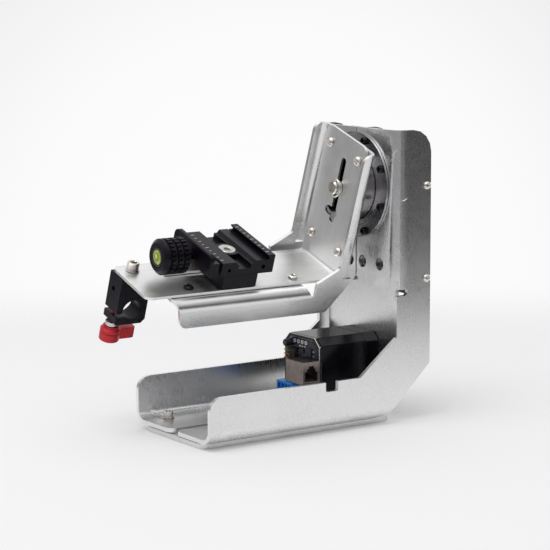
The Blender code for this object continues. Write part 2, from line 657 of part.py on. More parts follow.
drill(jaw, [("X", 0.0, SPINDLE_Z, 2.7, -56.0, -45.0, 12)])
turned("clamp_spindle", [(-66.0, 0), (-66.0, 2.4), (-60.7, 2.4), (-60.7, 3.85), (-54.6, 3.85), (-54.6, 2.4),
                         (-36.5, 2.4), (-36.5, 0)], "X", 0.0, SPINDLE_Z, 14, BLACK_METAL, tilt_axis)


# Clamp knob: three grip bands, a bevelled front with a seat for the level
def make_knob():
    groove = KNOB_RADIUS - 1.1
    profile = [(-79.0, 0), (-79.0, 7.0), (-82.0, 7.4), (-82.0, 10.0), (-79.6, KNOB_RADIUS)]
    for back in (-78.2, -73.1, -68.0):
        profile += [(back, KNOB_RADIUS), (back + 0.5, groove), (back + 0.9, groove), (back + 1.3, KNOB_RADIUS)]
    profile += [(-62.2, KNOB_RADIUS), (-61.0, KNOB_RADIUS - 1.6), (-61.0, 0)]
    knob = turned("clamp_knob", profile, "X", 0.0, SPINDLE_Z, 24, BLACK_METAL, tilt_axis)
    drill(knob, [("X", 0.0, SPINDLE_Z, 2.8, -66.4, -59.0, 12)])


make_knob()
turned("bubble_level", [(-82.6, 0), (-82.6, 4.8), (-82.2, 6.4), (-79.3, 6.4), (-79.3, 0)],
       "X", 0.0, SPINDLE_Z, 20, LEVEL_GREEN, tilt_axis)


# Rod clamp under the platform's free end
def make_rod_clamp():
    top = PLATFORM_TOP - PLATE_SHEET - GAP
    upper = -90.3
    lower = -93.0
    start = math.degrees(math.atan2(upper - ROD_Z, -math.sqrt(ROD_RADIUS ** 2 - (upper - ROD_Z) ** 2)))
    end = math.degrees(math.atan2(lower - ROD_Z, -math.sqrt(ROD_RADIUS ** 2 - (lower - ROD_Z) ** 2)))
    outline = [(-101.0, top), (-101.0, upper)]
    outline += arc(ROD_X, ROD_Z, ROD_RADIUS, start, end - 360, 24)
    outline += [(-101.0, lower), (-101.0, -98.0), (-100.0, -99.0), (-80.3, -99.0), (-77.3, -96.0), (-77.3, top)]
    block = prism("rod_clamp_block", outline, "Y", ROD_BLOCK_Y[0], ROD_BLOCK_Y[1], BLACK_METAL, tilt_axis)
    drill(block, [
        ("Z", ROD_X, THUMB_Y, 2.8, -76.5, -60.0, 10),
        ("Z", THUMB_X, THUMB_Y, 1.6, -101.0, -84.0, 8),
    ])


make_rod_clamp()
top = PLATFORM_TOP + GAP
turned("rod_clamp_bolt", [(-76.0, 0), (-76.0, 2.5), (top, 2.5), (top, 4.9), (top + 1.0, 4.9), (top + 1.0, 4.25),
                          (top + 6.0, 4.0), (top + 6.0, 2.1), (top + 3.5, 2.1), (top + 3.5, 0)],
       "Z", ROD_X, THUMB_Y, 14, STEEL, tilt_axis)
turned("thumb_washer", [(-102.2, 1.8), (-102.2, 4.6), (-99.3, 4.6), (-99.3, 1.8)],
       "Z", THUMB_X, THUMB_Y, 16, STEEL, tilt_axis)
thumb = turned("thumb_screw", [(-114.0, 0), (-114.0, 6.4), (-113.2, 7.2), (-104.6, 7.2), (-103.6, 5.6),
                               (-102.5, 5.6), (-102.5, 1.3), (-84.8, 1.3), (-84.8, 0)],
               "Z", THUMB_X, THUMB_Y, 20, RED_METAL, tilt_axis)
lever = bmesh.new()
add_prism(lever, box_outline(THUMB_X + 3.0, THUMB_X + 18.6, THUMB_Y - 2.6, THUMB_Y + 2.6), "Z", -113.4, -105.0)
boolean(thumb, finish_object("thumb_lever", lever, RED_METAL, tilt_axis), "UNION")
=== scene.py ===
# Looks of the camera tilt head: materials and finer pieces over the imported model, a pale floor,
# soft light and the camera. Shapes are drawn in millimetres and scaled to metres as they are placed.

import math

import bmesh
import bpy
from mathutils import Matrix, Vector


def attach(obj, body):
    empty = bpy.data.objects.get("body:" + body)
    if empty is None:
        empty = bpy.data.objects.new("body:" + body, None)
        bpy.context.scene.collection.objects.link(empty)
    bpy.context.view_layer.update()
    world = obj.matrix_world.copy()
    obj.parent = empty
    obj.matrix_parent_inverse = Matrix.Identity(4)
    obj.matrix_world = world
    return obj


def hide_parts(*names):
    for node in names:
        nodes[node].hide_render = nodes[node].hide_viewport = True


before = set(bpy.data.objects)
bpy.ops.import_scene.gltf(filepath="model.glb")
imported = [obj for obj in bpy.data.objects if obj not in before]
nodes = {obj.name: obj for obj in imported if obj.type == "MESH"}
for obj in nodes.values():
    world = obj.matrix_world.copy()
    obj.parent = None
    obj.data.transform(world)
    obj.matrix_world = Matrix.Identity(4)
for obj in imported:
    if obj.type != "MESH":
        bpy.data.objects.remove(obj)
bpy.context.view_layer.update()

MM = 0.001
AXIS_Z = 165.94
REST_TILT = math.radians(19.42)
FIXED = Matrix.Scale(MM, 4)
CRADLE = Matrix.Translation((0.0, 0.0, AXIS_Z * MM)) @ Matrix.Rotation(REST_TILT, 4, "X") @ FIXED

# Places in the fixed frame and in the cradle's frame
MOTOR_Z = 40.0
BOARD_X = 28.5
SPINDLE_Z = -44.0
KNOB_REAR = -61.0
LEVEL_SEAT = -79.2
SCREW_SEAT_Z = -61.0
ROD_X = -88.9
ROD_Z = -88.2
ROD_BOLT_Y = 16.3
THUMB_X = -98.5

# Belt drive
DRIVEN_RADIUS = 38.2
DRIVER_RADIUS = 7.65
PULLEY_GAP = AXIS_Z - MOTOR_Z

# Radii in metres round the tilt axis between which the painted shade, a near-black disc over the hub's
# middle, fades out
PAINTED_SHADE_EDGE = (0.0240, 0.0244)

# Floor: its grey, the light it adds for the camera, and where it fades out, in metres
FLOOR_GREY = 0.78
FLOOR_LIFT = 0.09
FLOOR_FADE = (0.34, 0.74)

# Studio: the level all round and overhead, and lobes of (direction, start, full, level)
STUDIO_LEVEL = 0.26
OVERHEAD_LEVEL = 0.95
STUDIO_LOBES = (
    ((0.56, 0.83, 0.0), 0.50, 0.88, 0.82),
    ((0.56, 0.815, -0.15), 0.972, 0.999, 0.98),
    ((0.56, -0.83, 0.0), 0.40, 0.90, 0.055),
)
SOFTBOX_AT = (-0.35, -0.10, 1.25)
SOFTBOX_TARGET = (0.0, 0.0, 0.08)
SOFTBOX_SIZE = 0.9
SOFTBOX_WATTS = 4.5

# Camera: its place in metres, its turn in degrees, its lens and sensor in millimetres
CAMERA_AT = (-0.7950321, -1.1610484, 0.3172522)
CAMERA_TURN = (81.4965, 0.1536, -34.6109)
LENS = 133.331
SENSOR = 36.0


# Node helpers
def add(tree, kind, **values):
    """A shader node, its inputs set by name with spaces written as underscores."""
    node = tree.nodes.new(kind)
    for key, value in values.items():
        title = key.replace("_", " ")
        if title in node.inputs:
            node.inputs[title].default_value = value
        else:
            setattr(node, key, value)
    return node


def ramp(tree, source, low, high, start=0.3, end=0.7):
    """A colour ramp from one colour to another."""
    node = tree.nodes.new("ShaderNodeValToRGB")
    node.color_ramp.elements[0].position = start
    node.color_ramp.elements[0].color = (*low, 1.0)
    node.color_ramp.elements[1].position = end
    node.color_ramp.elements[1].color = (*high, 1.0)
    tree.links.new(source, node.inputs["Fac"])
    return node.outputs["Color"]


def spread(tree, source, low, high):
    """A map of a noise value to a range."""
    node = add(tree, "ShaderNodeMapRange", From_Min=0.3, From_Max=0.7, To_Min=low, To_Max=high)
    tree.links.new(source, node.inputs["Value"])
    return node.outputs["Result"]


def worked(name, dark, light, metallic, rough, stretch=(1.0, 1.0, 1.0), turn=0.0, grain=900.0,
           blotch=40.0, share=0.5, bump=0.12, scuff=None, rings=False, **shader_values):
    """A worked surface: fine grain and broad blotches drive its colour, roughness and bump.

    stretch draws the grain out into lines, turn tips it with the cradle, rings lays it round the
    tilt axis and paints near-black shade over its middle, standing in for the shadow there, and scuff adds
    sparse lighter rubs.
    """
    mat = bpy.data.materials.new(name)
    mat.use_nodes = True
    tree = mat.node_tree
    shader = tree.nodes["Principled BSDF"]
    shader.inputs["Metallic"].default_value = metallic
    for key, value in shader_values.items():
        shader.inputs[key.replace("_", " ")].default_value = value
    place = tree.nodes.new("ShaderNodeTexCoord").outputs["Object"]
    tipped = add(tree, "ShaderNodeMapping", Rotation=(turn, 0.0, 0.0))
    drawn = add(tree, "ShaderNodeMapping", Scale=stretch)
    tree.links.new(place, tipped.inputs["Vector"])
    tree.links.new(tipped.outputs["Vector"], drawn.inputs["Vector"])
    fine = add(tree, "ShaderNodeTexNoise", Scale=grain, Detail=4.0, Roughness=0.6)
    if rings:
        centred = add(tree, "ShaderNodeVectorMath", operation="SUBTRACT")
        centred.inputs[1].default_value = (0.0, 0.0, AXIS_Z * MM)
        flat = add(tree, "ShaderNodeVectorMath", operation="MULTIPLY")
        flat.inputs[1].default_value = (0.0, 1.0, 1.0)
        length = add(tree, "ShaderNodeVectorMath", operation="LENGTH")
        tree.links.new(place, centred.inputs[0])
        tree.links.new(centred.outputs["Vector"], flat.inputs[0])
        tree.links.new(flat.outputs["Vector"], length.inputs[0])
        fine.noise_dimensions = "1D"
        tree.links.new(length.outputs["Value"], fine.inputs["W"])
    else:
        tree.links.new(drawn.outputs["Vector"], fine.inputs["Vector"])
    broad = add(tree, "ShaderNodeTexNoise", Scale=blotch, Detail=3.0, Roughness=0.55)
    tree.links.new(place, broad.inputs["Vector"])
    both = add(tree, "ShaderNodeMix", data_type="FLOAT", Factor=share)
    tree.links.new(fine.outputs["Fac"], both.inputs["A"])
    tree.links.new(broad.outputs["Fac"], both.inputs["B"])
    colour = ramp(tree, both.outputs["Result"], dark, light, 0.36, 0.64)
    if rings:
        # Painted shade: inside a radius round the tilt axis the colour turns near-black, standing in for
        # the shadow over the hub's middle.
        painted_shade = add(tree, "ShaderNodeMapRange", From_Min=PAINTED_SHADE_EDGE[0], From_Max=PAINTED_SHADE_EDGE[1])
        tree.links.new(length.outputs["Value"], painted_shade.inputs["Value"])
        inner = add(tree, "ShaderNodeMix", data_type="RGBA")
        inner.inputs[6].default_value = (0.012, 0.011, 0.012, 1.0)
        tree.links.new(painted_shade.outputs["Result"], inner.inputs["Factor"])
        tree.links.new(colour, inner.inputs[7])
        colour = inner.outputs[2]
    if scuff:
        rubs = add(tree, "ShaderNodeTexNoise", Scale=520.0, Detail=6.0, Roughness=0.75)
        tree.links.new(drawn.outputs["Vector"], rubs.inputs["Vector"])
        mask = ramp(tree, rubs.outputs["Fac"], (0.0, 0.0, 0.0), (1.0, 1.0, 1.0), 0.64, 0.74)
        over = add(tree, "ShaderNodeMix", data_type="RGBA")
        tree.links.new(mask, over.inputs["Factor"])
        tree.links.new(colour, over.inputs[6])
        over.inputs[7].default_value = (*scuff, 1.0)
        colour = over.outputs[2]
    tree.links.new(colour, shader.inputs["Base Color"])
    tree.links.new(spread(tree, both.outputs["Result"], rough[0], rough[1]), shader.inputs["Roughness"])
    relief = add(tree, "ShaderNodeBump", Strength=bump, Distance=0.0002)
    tree.links.new(fine.outputs["Fac"], relief.inputs["Height"])
    tree.links.new(relief.outputs["Normal"], shader.inputs["Normal"])
    return mat


UPRIGHT_SHEET = worked("column_sheet", (0.78, 0.78, 0.785), (0.88, 0.88, 0.875), 1.0, (0.24, 0.32),
                       (1.0, 1.0, 0.12), grain=1300.0, blotch=34.0, bump=0.02, scuff=(0.92, 0.92, 0.92))
BASE_SHEET = worked("base_sheet", (0.66, 0.66, 0.66), (0.84, 0.84, 0.835), 1.0, (0.28, 0.40),
                    (0.05, 1.0, 1.0), grain=1300.0, bump=0.02, scuff=(0.88, 0.88, 0.88))
CRADLE_SHEET = worked("cradle_sheet", (0.76, 0.76, 0.765), (0.87, 0.87, 0.865), 1.0, (0.24, 0.34),
                      (0.05, 1.0, 1.0), turn=-REST_TILT, grain=1300.0, bump=0.02, scuff=(0.90, 0.90, 0.90))
PLATE_SHEET = worked("plate_sheet", (0.80, 0.80, 0.80), (0.92, 0.92, 0.915), 1.0, (0.34, 0.44),
                     (0.06, 1.0, 0.06), turn=-REST_TILT, grain=1300.0, bump=0.02, scuff=(0.92, 0.92, 0.92))
# With rings on, this also paints near-black shade over the middle round the tilt axis, on the hub and the
# driven pulley.
TURNED = worked("turned_face", (0.34, 0.33, 0.35), (0.58, 0.57, 0.58), 1.0, (0.22, 0.34),
                grain=1500.0, rings=True, share=0.25)
BLACK_SATIN = worked("black_satin", (0.003, 0.0022, 0.005), (0.008, 0.006, 0.011), 0.0, (0.24, 0.36),
                     grain=2600.0, blotch=120.0, bump=0.06, scuff=(0.022, 0.019, 0.026),
                     Specular_IOR_Level=0.18)
BLACK_PAINT = worked("black_paint", (0.002, 0.0018, 0.003), (0.006, 0.005, 0.008), 0.0, (0.12, 0.22),
                     grain=1500.0, blotch=90.0, bump=0.05, Specular_IOR_Level=0.18)
LAMINATED = worked("laminated_core", (0.002, 0.002, 0.003), (0.006, 0.005, 0.008), 0.0, (0.12, 0.22),
                   (1.0, 0.05, 0.05), grain=2400.0, blotch=90.0, bump=0.10, Specular_IOR_Level=0.18)
BLACK_OXIDE = worked("black_oxide", (0.010, 0.010, 0.011), (0.030, 0.028, 0.030), 0.7, (0.30, 0.46),
                     grain=3000.0, blotch=300.0, bump=0.08)
BRIGHT = worked("bright_nickel", (0.62, 0.58, 0.53), (0.84, 0.81, 0.76), 1.0, (0.14, 0.26),
                grain=2600.0, blotch=260.0, bump=0.06)
WASHED = worked("plain_washer", (0.52, 0.51, 0.49), (0.72, 0.71, 0.69), 1.0, (0.26, 0.40),
                grain=2600.0, blotch=260.0, bump=0.08)
RED = worked("red_anodised", (0.42, 0.012, 0.022), (0.64, 0.030, 0.045), 0.45, (0.26, 0.38),
             grain=2600.0, blotch=160.0, bump=0.05)
BOARD = worked("solder_mask", (0.006, 0.008, 0.020), (0.016, 0.020, 0.042), 0.0, (0.30, 0.48),
               grain=700.0, blotch=200.0, bump=0.04)
SHELL = worked("plated_shell", (0.25, 0.21, 0.195), (0.38, 0.33, 0.31), 1.0, (0.24, 0.36),
               (1.0, 1.0, 0.08), grain=1800.0, blotch=140.0, bump=0.05)
GOLD = worked("gold_plate", (0.62, 0.42, 0.20), (0.84, 0.62, 0.34), 1.0, (0.20, 0.32),
              grain=2600.0, blotch=260.0, bump=0.04)
BLUE = worked("blue_moulding", (0.006, 0.15, 0.52), (0.012, 0.25, 0.78), 0.0, (0.34, 0.48),
              grain=2400.0, blotch=160.0, bump=0.05)
BLACK_MOULDING = worked("black_moulding", (0.010, 0.010, 0.012), (0.022, 0.021, 0.024), 0.0, (0.38, 0.56),
                        grain=2600.0, blotch=160.0, bump=0.08)
RUBBER = worked("belt_rubber", (0.012, 0.012, 0.012), (0.030, 0.030, 0.030), 0.0, (0.6, 0.8),
                grain=1800.0, blotch=160.0, bump=0.15)
WHITE_INK = worked("white_ink", (0.62, 0.62, 0.63), (0.82, 0.82, 0.82), 0.0, (0.45, 0.60),
                   grain=3000.0, blotch=400.0, bump=0.04)
VIAL = worked("level_fluid", (0.33, 0.46, 0.035), (0.50, 0.62, 0.07), 0.0, (0.06, 0.12),
              grain=300.0, blotch=150.0, bump=0.0, Coat_Weight=1.0, Coat_Roughness=0.03)
BUBBLE = worked("level_bubble", (0.66, 0.74, 0.30), (0.80, 0.86, 0.45), 0.0, (0.05, 0.10),
                grain=300.0, blotch=150.0, bump=0.0, Coat_Weight=1.0, Coat_Roughness=0.03)


# Shape helpers
def seat(base, point, axis):
    """Takes a shape drawn along local Z to a point of a frame, so that it faces along an axis."""
    turn = Vector((0.0, 0.0, 1.0)).rotation_difference(Vector(axis)).to_matrix().to_4x4()
    return base @ Matrix.Translation(point) @ turn


def shaped(radius, kind, k, segments):
    """The radius of one point of a ring: round, a hexagon, or notched."""
    if kind == "hex":
        angle = 2.0 * math.pi * k / segments
        return radius / math.cos(angle % (math.pi / 3.0) - math.pi / 6.0)
    if kind == "knurl":
        return radius - 0.16 * (k % 2)
    if kind == "grip":
        return radius - (1.0 if k % 4 == 3 else 0.0)
    if kind == "teeth":
        return radius - 0.8 * (k % 2)
    return radius


def add_lathe(bm, matrix, rows, segments=36):
    """Rows of (height, radius) or (height, radius, kind) along local Z."""
    rings = []
    for row in rows:
        height, radius, kind = (*row, "round")[:3]
        if radius == 0:
            rings.append([bm.verts.new(matrix @ Vector((0.0, 0.0, height)))])
            continue
        ring = []
        for k in range(segments):
            angle = 2.0 * math.pi * k / segments
            reach = shaped(radius, kind, k, segments)
            point = Vector((reach * math.cos(angle), reach * math.sin(angle), height))
            ring.append(bm.verts.new(matrix @ point))
        rings.append(ring)
    pairs = list(zip(rings, rings[1:]))
    if rows[0][1] > 0:
        pairs.append((rings[-1], rings[0]))
    for one, two in pairs:
        for k in range(segments):
            n = (k + 1) % segments
            corners = [one[k % len(one)], one[n % len(one)], two[n % len(two)], two[k % len(two)]]
            bm.faces.new(list(dict.fromkeys(corners)))


def add_prism(bm, base, outline, axis, low, high):
    """An outline drawn across X, Y or Z of a frame, from one height to another."""
    loops = []
    for h in (low, high):
        points = [{"X": (h, a, b), "Y": (a, h, b), "Z": (a, b, h)}[axis] for a, b in outline]
        loops.append([bm.verts.new(base @ Vector(p)) for p in points])
    one, two = loops
    bm.faces.new(one)
    bm.faces.new(two)
    for k in range(len(one)):
        bm.faces.new([one[k - 1], one[k], two[k], two[k - 1]])


def box(a0, a1, b0, b1):
    return [(a0, b0), (a1, b0), (a1, b1), (a0, b1)]


def arc(cx, cy, radius, start, end, steps):
    angles = [math.radians(start + (end - start) * k / steps) for k in range(steps + 1)]
    return [(cx + radius * math.cos(a), cy + radius * math.sin(a)) for a in angles]


def circle(cx, cy, radius, segments=32):
    return arc(cx, cy, radius, 0.0, 360.0 - 360.0 / segments, segments - 1)


def ease_edges(obj, width, segments=2, edge_material=None):
    """Small rounded edges, shaded so that flat faces stay flat."""
    bevel = obj.modifiers.new("edges", "BEVEL")
    bevel.width = width * MM
    bevel.segments = segments
    bevel.limit_method = "ANGLE"
    bevel.angle_limit = math.radians(38.0)
    bevel.use_clamp_overlap = True
    bevel.loop_slide = False
    if edge_material is not None:
        bevel.material = edge_material
    even = obj.modifiers.new("shading", "WEIGHTED_NORMAL")
    even.keep_sharp = True
    even.weight = 60


def piece(name, bm, mats, body, stands_for=(), edge=0.0, sharp=38.0):
    """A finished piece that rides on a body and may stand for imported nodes."""
    bmesh.ops.recalc_face_normals(bm, faces=bm.faces)
    mesh = bpy.data.meshes.new(name)
    bm.to_mesh(mesh)
    bm.free()
    for mat in mats:
        mesh.materials.append(mat)
    mesh.shade_smooth()
    obj = bpy.data.objects.new(name, mesh)
    bpy.context.scene.collection.objects.link(obj)
    if edge:
        ease_edges(obj, edge)
    else:
        mesh.set_sharp_from_angle(angle=math.radians(sharp))
    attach(obj, body)
    if stands_for:
        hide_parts(*stands_for)
    return obj


def carve(obj, cutter, operation="DIFFERENCE"):
    """Cuts or joins the cutter's shape for good, before the piece gets its edges."""
    mesh = bpy.data.meshes.new("cutter")
    bmesh.ops.recalc_face_normals(cutter, faces=cutter.faces)
    cutter.to_mesh(mesh)
    cutter.free()
    tool = bpy.data.objects.new("cutter", mesh)
    bpy.context.scene.collection.objects.link(tool)
    cut = obj.modifiers.new("cut", "BOOLEAN")
    cut.operation = operation
    cut.solver = "EXACT"
    cut.object = tool
    bpy.context.view_layer.update()
    obj.data = bpy.data.meshes.new_from_object(obj.evaluated_get(bpy.context.evaluated_depsgraph_get()))
    obj.modifiers.clear()
    bpy.data.objects.remove(tool)
    obj.data.shade_smooth()


def copied(node, mat, body):
    """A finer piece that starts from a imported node's own shape, its triangles joined to faces."""
    bm = bmesh.new()
    bm.from_mesh(nodes[node].data)
    bmesh.ops.remove_doubles(bm, verts=bm.verts, dist=0.00001)
    bmesh.ops.dissolve_limit(bm, angle_limit=math.radians(0.2), verts=bm.verts, edges=bm.edges)
    return piece(f"{node}_detail", bm, [mat], body, [node])


def dress(names, mat, edge=0.0, segments=2, edge_mat=None):
    """A better material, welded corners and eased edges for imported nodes."""
    for name in names:
        node = nodes[name]
        node.data.materials.clear()
        node.data.materials.append(mat)
        if edge_mat:
            node.data.materials.append(edge_mat)
        node.data.shade_smooth()
        weld = node.modifiers.new("weld", "WELD")
        weld.merge_threshold = 0.00001
        flat = node.modifiers.new("flat_faces", "DECIMATE")
        flat.decimate_type = "DISSOLVE"
        flat.angle_limit = math.radians(0.6)
        if edge:
            ease_edges(node, edge, segments, 1 if edge_mat else None)
        else:
            node.modifiers.new("shading", "WEIGHTED_NORMAL").keep_sharp = True


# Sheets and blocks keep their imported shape
dress(["near_side_sheet", "far_side_sheet"], UPRIGHT_SHEET, 0.30)
dress(["drive_plate", "rear_cover"], UPRIGHT_SHEET, 0.25)
dress(["base_plate"], BASE_SHEET, 0.35)
dress(["cradle_plate"], PLATE_SHEET, 0.25)
dress(["near_cradle_sheet"], CRADLE_SHEET, 0.30)
dress(["bearing_ring", "tilt_hub"], TURNED, 0.35)
dress(["motor_front_cap"], BLACK_PAINT, 0.5, 3)
dress(["motor_stator"], LAMINATED, 0.5, 3)
dress(["motor_rear_cap"], BLACK_PAINT, 0.35, 2, WASHED)
dress(["driver_board"], BOARD, 0.1)
dress(["clamp_riser", "clamp_spindle"], BLACK_SATIN, 0.35, 3)
dress(["network_jack"], SHELL, 0.3)
dress(["terminal_block"], BLUE, 0.25)
dress(["motor_shaft"], BRIGHT, 0.2)
dress(["board_capacitor"], BLACK_MOULDING, 0.25)
dress(["camera_screw_washer", "thumb_washer"], WASHED, 0.2)


# Far cradle sheet: its flange is cut back behind the upright's cross opening
far_sheet = copied("far_cradle_sheet", CRADLE_SHEET, "cradle")
cuts = bmesh.new()
add_prism(cuts, CRADLE, box(4.0, 11.8, -30.0, -12.0), "X", 60.0, 66.0)
carve(far_sheet, cuts)
ease_edges(far_sheet, 0.30)


# Screws: a shank, an optional washer and a head with a hexagon socket
def head_rows(style, radius, height, start):
    if style == "button":
        return [(start, radius), (start + 0.25 * height, radius), (start + 0.60 * height, 0.90 * radius),
                (start + 0.88 * height, 0.72 * radius)]
    return [(start, radius - 0.1, "knurl"), (start + 0.12, radius, "knurl"),
            (start + height - 0.55, radius, "knurl"), (start + height - 0.5, radius - 0.05),
            (start + height, radius - 0.55)]


def screw(node, base, point, axis, body, mat, style, radius, height, socket, shank, length,
          washer=None):
    rows = [(-length, 0), (-length, 0.7 * shank), (0.5 - length, shank), (0.0, shank)]
    start = 0.0
    if washer:
        start = washer[1]
        rows += [(0.0, washer[0]), (start, washer[0])]
    top = start + height
    rows += head_rows(style, radius, height, start)
    rows += [(top, socket + 0.35), (top - 0.25, socket, "hex"), (top - 0.62 * height, socket, "hex"),
             (top - 0.75 * height, 0)]
    bm = bmesh.new()
    add_lathe(bm, seat(base, point, axis), rows)
    return piece(f"{node}_detail", bm, [mat], body, [node])


for k in range(8):
    angle = math.radians(22.5 + 45.0 * k)
    point = (74.3, 34.75 * math.cos(angle), AXIS_Z + 34.75 * math.sin(angle))
    screw(f"ring_screw_{k + 1}", FIXED, point, (-1, 0, 0), "frame", BLACK_OXIDE, "cap", 2.75, 2.8, 1.25,
          1.5, 6.7, None)

count = 1
for side in (-1, 1):
    for z in (101.6, 167.5):
        screw(f"cover_screw_{count}", FIXED, (102.5, side * 48.05, z), (0, side, 0), "frame", BRIGHT,
              "button", 2.85, 1.8, 1.05, 1.5, 7.0)
        count += 1

for k, (x, y) in enumerate(((-62.5, 33.9), (-62.5, -33.9), (52.0, 33.9), (52.0, -33.9)), 1):
    screw(f"floor_bolt_{k}", FIXED, (x, y, 7.1), (0, 0, 1), "frame", BRIGHT, "cap", 3.45, 4.0, 1.6,
          2.0, 6.4, (4.25, 1.0))

for k, (y, z) in enumerate(((17.0, 26.4), (-17.0, 26.4), (17.0, -44.3), (-17.0, -44.3)), 1):
    screw(f"plate_screw_{k}", CRADLE, (59.0, y, z), (-1, 0, 0), "cradle", BRIGHT, "button", 3.55, 2.35,
          1.45, 2.0, 6.8)

for k, (x, y) in enumerate(((-63.1, 16.4), (-63.1, -16.4), (23.3, 17.4), (23.3, -17.4)), 1):
    mat = BLACK_OXIDE if k == 2 else BRIGHT
    screw(f"platform_screw_{k}", CRADLE, (x, y, SCREW_SEAT_Z), (0, 0, 1), "cradle", mat, "button",
          3.65, 1.95, 1.45, 2.0, 6.9)

screw("rod_clamp_bolt", CRADLE, (ROD_X, ROD_BOLT_Y, SCREW_SEAT_Z), (0, 0, 1), "cradle", BRIGHT, "cap",
      4.25, 5.0, 2.2, 2.5, 15.0, (4.9, 1.0))

# Clamp's centre screw: a flat conical head with a hexagon socket
bm = bmesh.new()
add_lathe(bm, seat(CRADLE, (-25.6, -0.6, -44.7), (0, 0, 1)), [
    (-13.3, 0), (-13.3, 1.9), (-12.7, 2.5), (0.0, 2.5), (0.0, 5.6), (1.9, 6.2), (2.45, 6.2), (2.7, 5.9),
    (2.7, 2.7), (2.45, 2.25, "hex"), (0.9, 2.25, "hex"), (0.5, 0)])
piece("clamp_center_screw_detail", bm, [WASHED], "cradle", ["clamp_center_screw"])

# Camera screw: a knurled head with a coin slot, and its threaded shank
bm = bmesh.new()
thread = [(-4.0 - 0.5 * k, 2.5 if k % 2 else 2.15) for k in range(17)]
add_lathe(bm, seat(CRADLE, (57.5, -1.6, -0.4), (-1, 0, 0)), [
    (-13.0, 0), (-13.0, 1.8), (-12.4, 2.2)] + thread[::-1] + [
    (0.0, 2.5), (0.0, 4.8), (0.15, 5.0, "knurl"), (2.9, 5.0, "knurl"), (3.3, 4.7), (3.9, 4.1),
    (3.9, 0)], 48)
camera_screw = piece("camera_screw_detail", bm, [BRIGHT], "slot_screw", ["camera_screw"])
slot = bmesh.new()
add_prism(slot, CRADLE, box(-2.4, -0.8, -6.4, 5.6), "X", 53.0, 54.9)
carve(camera_screw, slot)
camera_screw.data.set_sharp_from_angle(angle=math.radians(38.0))

# Folding D-ring: a round wire with its ends turned into the head
reach = 6.6
path = [(0.0, 5.1), (0.0, 5.9), (0.35, 6.4)]
path += [(reach * math.sin(math.pi * k / 24.0), reach * math.cos(math.pi * k / 24.0)) for k in range(2, 23)]
path += [(0.35, -6.4), (0.0, -5.9), (0.0, -5.1)]
wire = bpy.data.curves.new("camera_screw_d_ring_detail", "CURVE")
wire.dimensions = "3D"
spline = wire.splines.new("POLY")
spline.points.add(len(path) - 1)
for spot, (out, along) in zip(spline.points, path):
    spot.co = (*(CRADLE @ Vector((55.8, -1.6 - out, -0.4 + along))), 1.0)
wire.bevel_depth = 0.75 * MM
wire.bevel_resolution = 4
wire.use_fill_caps = True
wire.materials.append(BRIGHT)
d_ring = bpy.data.objects.new("camera_screw_d_ring_detail", wire)
bpy.context.scene.collection.objects.link(d_ring)
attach(d_ring, "d_ring")
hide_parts("camera_screw_d_ring")

# Quick-release clamp: body with its channel, pockets round the centre screw and scale marks
bm = bmesh.new()
add_prism(bm, CRADLE, [
    (-44.5, -50.5), (-1.5, -50.5), (-1.5, -37.4), (-2.1, -36.8), (-7.5, -36.8), (-7.5, -37.6),
    (-5.2, -40.2), (-8.4, -40.2), (-8.4, -40.9), (-9.6, -40.9), (-9.6, -40.2), (-16.9, -40.2),
    (-18.4, -42.4), (-31.4, -42.4), (-33.3, -40.2), (-44.5, -40.2)], "Y", -25.0, 25.0)
clamp = piece("clamp_body_detail", bm, [BLACK_SATIN], "cradle", ["clamp_body"])
cuts = bmesh.new()
for side in (-1, 1):
    curve = arc(-25.6, -0.6, 8.6, side * 125.0, side * 55.0, 12)
    edge = 27.0 * side
    add_prism(cuts, CRADLE, [(-30.5, edge)] + curve + [(-20.7, edge)], "Z", -45.6, -41.0)
    add_prism(cuts, CRADLE, circle(-38.0, -46.2, 1.3, 20), "Y", side * 21.5, side * 26.0)
    add_prism(cuts, CRADLE, circle(-10.0, -45.6, 1.6, 20), "Y", side * 21.5, side * 26.0)
add_prism(cuts, CRADLE, circle(-25.6, -0.6, 6.6, 36), "Z", -44.9, -40.0)
add_prism(cuts, CRADLE, circle(0.0, SPINDLE_Z, 2.7, 24), "X", -46.0, -34.5)
carve(clamp, cuts)
ease_edges(clamp, 0.3)

jaw = copied("clamp_jaw", BLACK_SATIN, "jaw")
cuts = bmesh.new()
for side in (-1, 1):
    corner = [(side * 26.0, -33.0)] + arc(side * 19.6, -39.6, 5.0, 90 - 90 * side, 90, 8)
    corner += [(side * 19.6, -33.0)]
    add_prism(cuts, CRADLE, corner, "X", -56.0, -45.0)
carve(jaw, cuts)
ease_edges(jaw, 0.3)

marks = bmesh.new()
for k in range(9):
    y = -20.0 + 5.0 * k
    deep = 2.6 if k % 2 == 0 else 1.7
    add_prism(marks, CRADLE, box(-43.4, -43.4 + deep, y - 0.22, y + 0.22), "Z", -40.21, -40.14)
    add_prism(marks, CRADLE, box(-5.6 - 0.5 * deep, -5.6 + 0.5 * deep, y - 0.22, y + 0.22), "Z",
              -36.81, -36.74)
piece("clamp_scale_marks", marks, [WHITE_INK], "cradle")

# Clamp knob: three bands of grip blocks and a bevelled front with a seat for the level
rows = [(0.0, 0), (0.0, 10.6), (0.9, 11.5)]
for start, end in ((1.2, 5.7), (7.0, 10.8), (12.1, 15.9)):
    rows += [(start, 11.5), (start + 0.25, 12.6, "grip"), (end - 0.25, 12.6, "grip"), (end, 11.5)]
rows += [(17.0, 11.5), (17.2, 12.4), (17.5, 12.6), (18.6, 12.6), (19.0, 12.35), (20.7, 10.3), (21.0, 9.9),
         (21.0, 7.5), (20.8, 7.2), (18.2, 6.9), (18.2, 0)]
bm = bmesh.new()
add_lathe(bm, seat(CRADLE, (KNOB_REAR, 0.0, SPINDLE_Z), (-1, 0, 0)), rows, 96)
piece("clamp_knob_detail", bm, [BLACK_SATIN], "knob", ["clamp_knob"], sharp=30.0)

